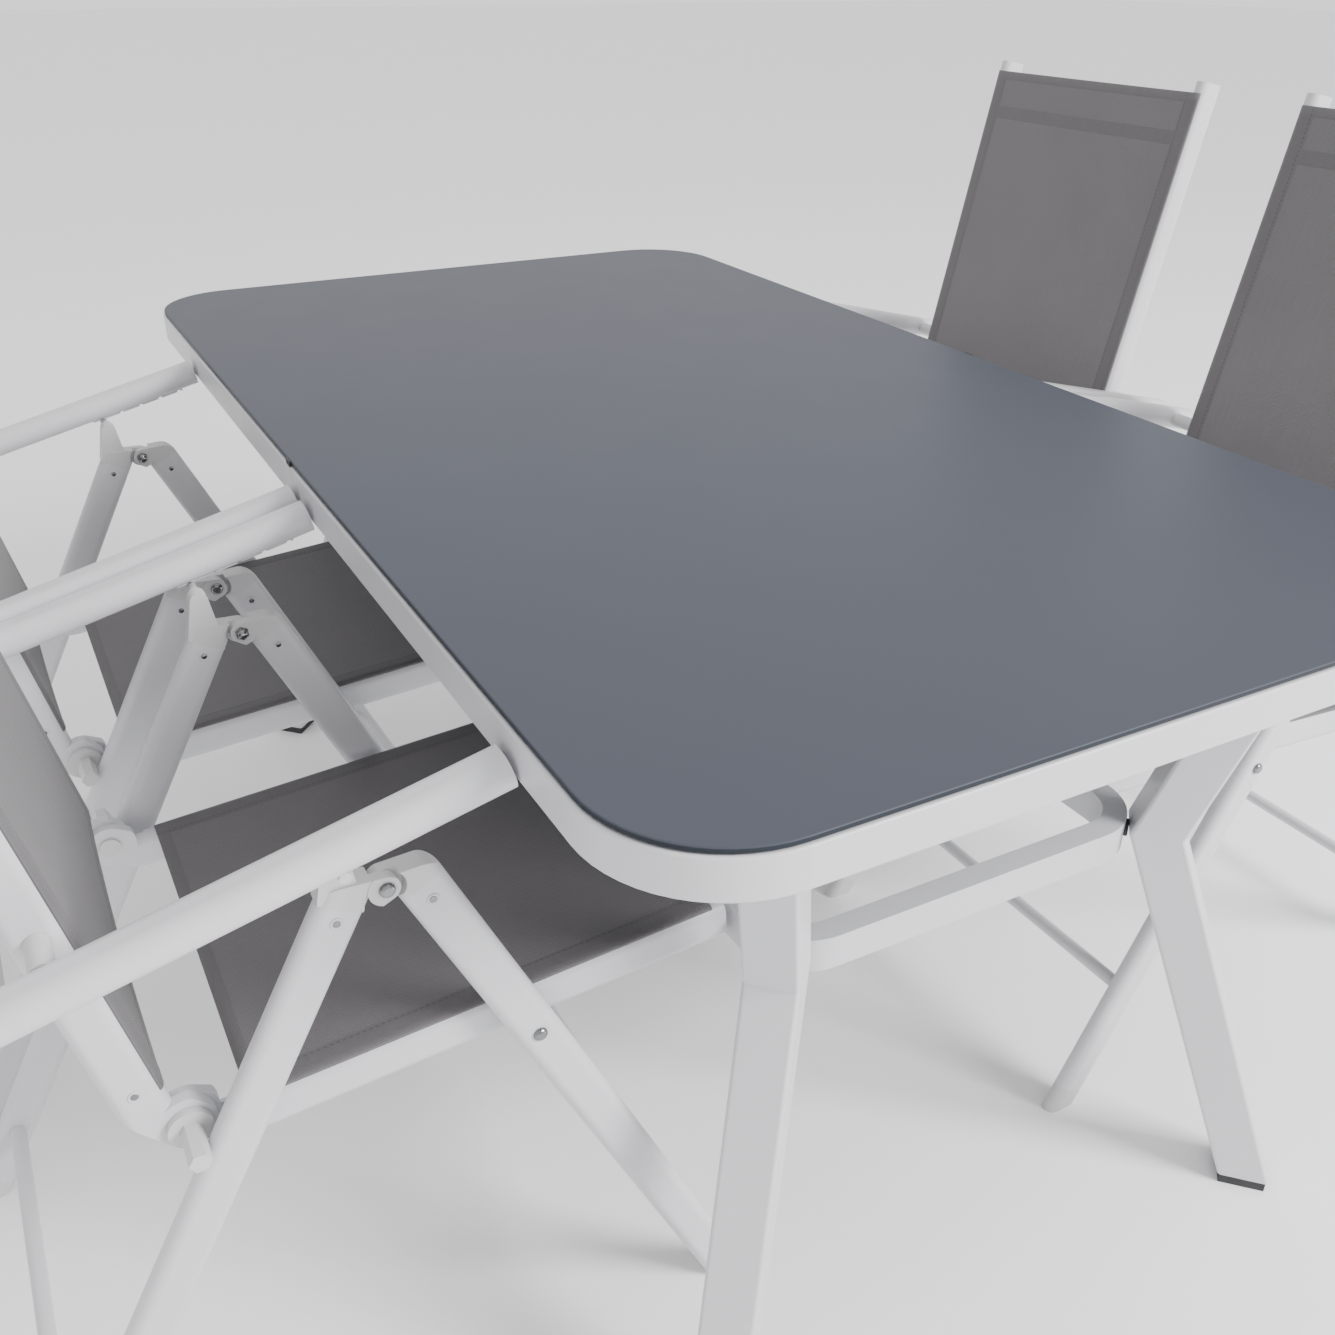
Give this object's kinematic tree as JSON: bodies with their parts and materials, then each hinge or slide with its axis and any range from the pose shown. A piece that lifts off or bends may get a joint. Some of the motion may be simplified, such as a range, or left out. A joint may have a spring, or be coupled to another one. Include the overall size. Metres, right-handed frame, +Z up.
{
  "type": "patio dining set",
  "caption": "Patio dining table with a tinted glass top, bent legs and a stretcher ring, with folding reclining sling armchairs along both sides.",
  "frame": {"origin": "on the floor under the middle of the table top", "axes": "+Z up; +X across the table from one row of chairs to the other; +Y along the table"},
  "size_m": [1.8388, 1.6, 1.0544],
  "materials": {
    "white_coat": "satin powder coat",
    "white_plastic": "satin moulded plastic",
    "screw_chrome": "polished",
    "mesh_fabric": "woven mesh sling",
    "tinted_glass": "satin glass, colour-backed",
    "dark_rubber": "matt"
  },
  "bodies": {
    "table": {"glass_top": "tinted_glass", "top_frame": "white_coat", "top_cross_rails": "white_coat", "rubber_pads": "dark_rubber", "table_leg_near_left": "white_coat", "table_leg_near_right": "white_coat", "table_leg_far_left": "white_coat", "table_leg_far_right": "white_coat", "leg_plates": "white_coat", "leg_feet": "dark_rubber", "leg_screws": "screw_chrome", "stretcher_ring": "white_coat"},
    "chair_a_rear_legs": {"chair_a_rear_leg_frame": "white_coat", "chair_a_rear_leg_fittings": "white_plastic"},
    "chair_a_front_legs": {"chair_a_front_leg_frame": "white_coat", "chair_a_front_leg_fittings": "white_plastic", "chair_a_pivot_screws": "screw_chrome"},
    "chair_a_seat": {"chair_a_seat_frame": "white_coat", "chair_a_seat_sling": "mesh_fabric"},
    "chair_a_hubs": {"chair_a_pivot_hubs": "white_plastic"},
    "chair_a_back": {"chair_a_back_frame": "white_coat", "chair_a_back_sling": "mesh_fabric"},
    "chair_a_bushes": {"chair_a_arm_bushes": "white_plastic"},
    "chair_a_arms": {"chair_a_armrests": "white_coat"},
    "chair_b_rear_legs": {"chair_b_rear_leg_frame": "white_coat", "chair_b_rear_leg_fittings": "white_plastic"},
    "chair_b_front_legs": {"chair_b_front_leg_frame": "white_coat", "chair_b_front_leg_fittings": "white_plastic", "chair_b_pivot_screws": "screw_chrome"},
    "chair_b_seat": {"chair_b_seat_frame": "white_coat", "chair_b_seat_sling": "mesh_fabric"},
    "chair_b_hubs": {"chair_b_pivot_hubs": "white_plastic"},
    "chair_b_back": {"chair_b_back_frame": "white_coat", "chair_b_back_sling": "mesh_fabric"},
    "chair_b_bushes": {"chair_b_arm_bushes": "white_plastic"},
    "chair_b_arms": {"chair_b_armrests": "white_coat"},
    "chair_c_rear_legs": {"chair_c_rear_leg_frame": "white_coat", "chair_c_rear_leg_fittings": "white_plastic"},
    "chair_c_front_legs": {"chair_c_front_leg_frame": "white_coat", "chair_c_front_leg_fittings": "white_plastic", "chair_c_pivot_screws": "screw_chrome"},
    "chair_c_seat": {"chair_c_seat_frame": "white_coat", "chair_c_seat_sling": "mesh_fabric"},
    "chair_c_hubs": {"chair_c_pivot_hubs": "white_plastic"},
    "chair_c_back": {"chair_c_back_frame": "white_coat", "chair_c_back_sling": "mesh_fabric"},
    "chair_c_bushes": {"chair_c_arm_bushes": "white_plastic"},
    "chair_c_arms": {"chair_c_armrests": "white_coat"},
    "chair_d_rear_legs": {"chair_d_rear_leg_frame": "white_coat", "chair_d_rear_leg_fittings": "white_plastic"},
    "chair_d_front_legs": {"chair_d_front_leg_frame": "white_coat", "chair_d_front_leg_fittings": "white_plastic", "chair_d_pivot_screws": "screw_chrome"},
    "chair_d_seat": {"chair_d_seat_frame": "white_coat", "chair_d_seat_sling": "mesh_fabric"},
    "chair_d_hubs": {"chair_d_pivot_hubs": "white_plastic"},
    "chair_d_back": {"chair_d_back_frame": "white_coat", "chair_d_back_sling": "mesh_fabric"},
    "chair_d_bushes": {"chair_d_arm_bushes": "white_plastic"},
    "chair_d_arms": {"chair_d_armrests": "white_coat"}
  },
  "joints": [
    {"name": "chair_a_pull_out", "type": "slide", "parent": "table", "child": "chair_a_rear_legs", "axis": [-1, 0, 0], "range_m": [0, 0.45]},
    {"name": "chair_a_fold", "type": "hinge", "parent": "chair_a_rear_legs", "child": "chair_a_front_legs", "pos_m": [-0.54, -0.33, 0.612], "axis": [0, 1, 0], "range_deg": [0, 52.6]},
    {"name": "chair_a_seat_tilt", "type": "hinge", "parent": "chair_a_front_legs", "child": "chair_a_seat", "pos_m": [-0.42801, -0.33, 0.422], "axis": [0, -1, 0], "range_deg": [0, 99.6]},
    {"name": "chair_a_back_close", "type": "hinge", "parent": "chair_a_seat", "child": "chair_a_hubs", "pos_m": [-0.7005, -0.33, 0.428], "axis": [0, 1, 0], "range_deg": [0, 86.7]},
    {"name": "chair_a_recline", "type": "hinge", "parent": "chair_a_hubs", "child": "chair_a_back", "pos_m": [-0.7005, -0.33, 0.428], "axis": [0, -1, 0], "range_deg": [0, 30]},
    {"name": "chair_a_arm_swing", "type": "hinge", "parent": "chair_a_back", "child": "chair_a_bushes", "pos_m": [-0.76568, -0.33, 0.62884], "axis": [0, -1, 0], "range_deg": [0, 116.7]},
    {"name": "chair_a_arm_level", "type": "hinge", "parent": "chair_a_bushes", "child": "chair_a_arms", "pos_m": [-0.76568, -0.33, 0.62884], "axis": [0, 1, 0], "range_deg": [0, 23.5]},
    {"name": "chair_b_pull_out", "type": "slide", "parent": "table", "child": "chair_b_rear_legs", "axis": [-1, 0, 0], "range_m": [0, 0.45]},
    {"name": "chair_b_fold", "type": "hinge", "parent": "chair_b_rear_legs", "child": "chair_b_front_legs", "pos_m": [-0.54, 0.238, 0.612], "axis": [0, 1, 0], "range_deg": [0, 52.6]},
    {"name": "chair_b_seat_tilt", "type": "hinge", "parent": "chair_b_front_legs", "child": "chair_b_seat", "pos_m": [-0.42801, 0.238, 0.422], "axis": [0, -1, 0], "range_deg": [0, 99.6]},
    {"name": "chair_b_back_close", "type": "hinge", "parent": "chair_b_seat", "child": "chair_b_hubs", "pos_m": [-0.7005, 0.238, 0.428], "axis": [0, 1, 0], "range_deg": [0, 86.7]},
    {"name": "chair_b_recline", "type": "hinge", "parent": "chair_b_hubs", "child": "chair_b_back", "pos_m": [-0.7005, 0.238, 0.428], "axis": [0, -1, 0], "range_deg": [0, 30]},
    {"name": "chair_b_arm_swing", "type": "hinge", "parent": "chair_b_back", "child": "chair_b_bushes", "pos_m": [-0.76568, 0.238, 0.62884], "axis": [0, -1, 0], "range_deg": [0, 116.7]},
    {"name": "chair_b_arm_level", "type": "hinge", "parent": "chair_b_bushes", "child": "chair_b_arms", "pos_m": [-0.76568, 0.238, 0.62884], "axis": [0, 1, 0], "range_deg": [0, 23.5]},
    {"name": "chair_c_pull_out", "type": "slide", "parent": "table", "child": "chair_c_rear_legs", "axis": [1, 0, 0], "range_m": [0, 0.45]},
    {"name": "chair_c_fold", "type": "hinge", "parent": "chair_c_rear_legs", "child": "chair_c_front_legs", "pos_m": [0.54, 0.238, 0.612], "axis": [0, -1, 0], "range_deg": [0, 52.6]},
    {"name": "chair_c_seat_tilt", "type": "hinge", "parent": "chair_c_front_legs", "child": "chair_c_seat", "pos_m": [0.42801, 0.238, 0.422], "axis": [0, 1, 0], "range_deg": [0, 99.6]},
    {"name": "chair_c_back_close", "type": "hinge", "parent": "chair_c_seat", "child": "chair_c_hubs", "pos_m": [0.7005, 0.238, 0.428], "axis": [0, -1, 0], "range_deg": [0, 86.7]},
    {"name": "chair_c_recline", "type": "hinge", "parent": "chair_c_hubs", "child": "chair_c_back", "pos_m": [0.7005, 0.238, 0.428], "axis": [0, 1, 0], "range_deg": [0, 30]},
    {"name": "chair_c_arm_swing", "type": "hinge", "parent": "chair_c_back", "child": "chair_c_bushes", "pos_m": [0.76568, 0.238, 0.62884], "axis": [0, 1, 0], "range_deg": [0, 116.7]},
    {"name": "chair_c_arm_level", "type": "hinge", "parent": "chair_c_bushes", "child": "chair_c_arms", "pos_m": [0.76568, 0.238, 0.62884], "axis": [0, -1, 0], "range_deg": [0, 23.5]},
    {"name": "chair_d_pull_out", "type": "slide", "parent": "table", "child": "chair_d_rear_legs", "axis": [1, 0, 0], "range_m": [0, 0.45]},
    {"name": "chair_d_fold", "type": "hinge", "parent": "chair_d_rear_legs", "child": "chair_d_front_legs", "pos_m": [0.54, -0.33, 0.612], "axis": [0, -1, 0], "range_deg": [0, 52.6]},
    {"name": "chair_d_seat_tilt", "type": "hinge", "parent": "chair_d_front_legs", "child": "chair_d_seat", "pos_m": [0.42801, -0.33, 0.422], "axis": [0, 1, 0], "range_deg": [0, 99.6]},
    {"name": "chair_d_back_close", "type": "hinge", "parent": "chair_d_seat", "child": "chair_d_hubs", "pos_m": [0.7005, -0.33, 0.428], "axis": [0, -1, 0], "range_deg": [0, 86.7]},
    {"name": "chair_d_recline", "type": "hinge", "parent": "chair_d_hubs", "child": "chair_d_back", "pos_m": [0.7005, -0.33, 0.428], "axis": [0, 1, 0], "range_deg": [0, 30]},
    {"name": "chair_d_arm_swing", "type": "hinge", "parent": "chair_d_back", "child": "chair_d_bushes", "pos_m": [0.76568, -0.33, 0.62884], "axis": [0, 1, 0], "range_deg": [0, 116.7]},
    {"name": "chair_d_arm_level", "type": "hinge", "parent": "chair_d_bushes", "child": "chair_d_arms", "pos_m": [0.76568, -0.33, 0.62884], "axis": [0, -1, 0], "range_deg": [0, 23.5]}
  ],
  "couplings": [
    {"joint": "chair_a_seat_tilt", "follows": "chair_a_fold", "ratio": 1.884},
    {"joint": "chair_a_back_close", "follows": "chair_a_fold", "ratio": 1.6387},
    {"joint": "chair_a_arm_swing", "follows": "chair_a_fold", "ratio": 2.209},
    {"joint": "chair_a_arm_level", "follows": "chair_a_recline", "ratio": 0.7655},
    {"joint": "chair_b_seat_tilt", "follows": "chair_b_fold", "ratio": 1.884},
    {"joint": "chair_b_back_close", "follows": "chair_b_fold", "ratio": 1.6387},
    {"joint": "chair_b_arm_swing", "follows": "chair_b_fold", "ratio": 2.209},
    {"joint": "chair_b_arm_level", "follows": "chair_b_recline", "ratio": 0.7655},
    {"joint": "chair_c_seat_tilt", "follows": "chair_c_fold", "ratio": 1.884},
    {"joint": "chair_c_back_close", "follows": "chair_c_fold", "ratio": 1.6387},
    {"joint": "chair_c_arm_swing", "follows": "chair_c_fold", "ratio": 2.209},
    {"joint": "chair_c_arm_level", "follows": "chair_c_recline", "ratio": 0.7655},
    {"joint": "chair_d_seat_tilt", "follows": "chair_d_fold", "ratio": 1.884},
    {"joint": "chair_d_back_close", "follows": "chair_d_fold", "ratio": 1.6387},
    {"joint": "chair_d_arm_swing", "follows": "chair_d_fold", "ratio": 2.209},
    {"joint": "chair_d_arm_level", "follows": "chair_d_recline", "ratio": 0.7655}
  ]
}
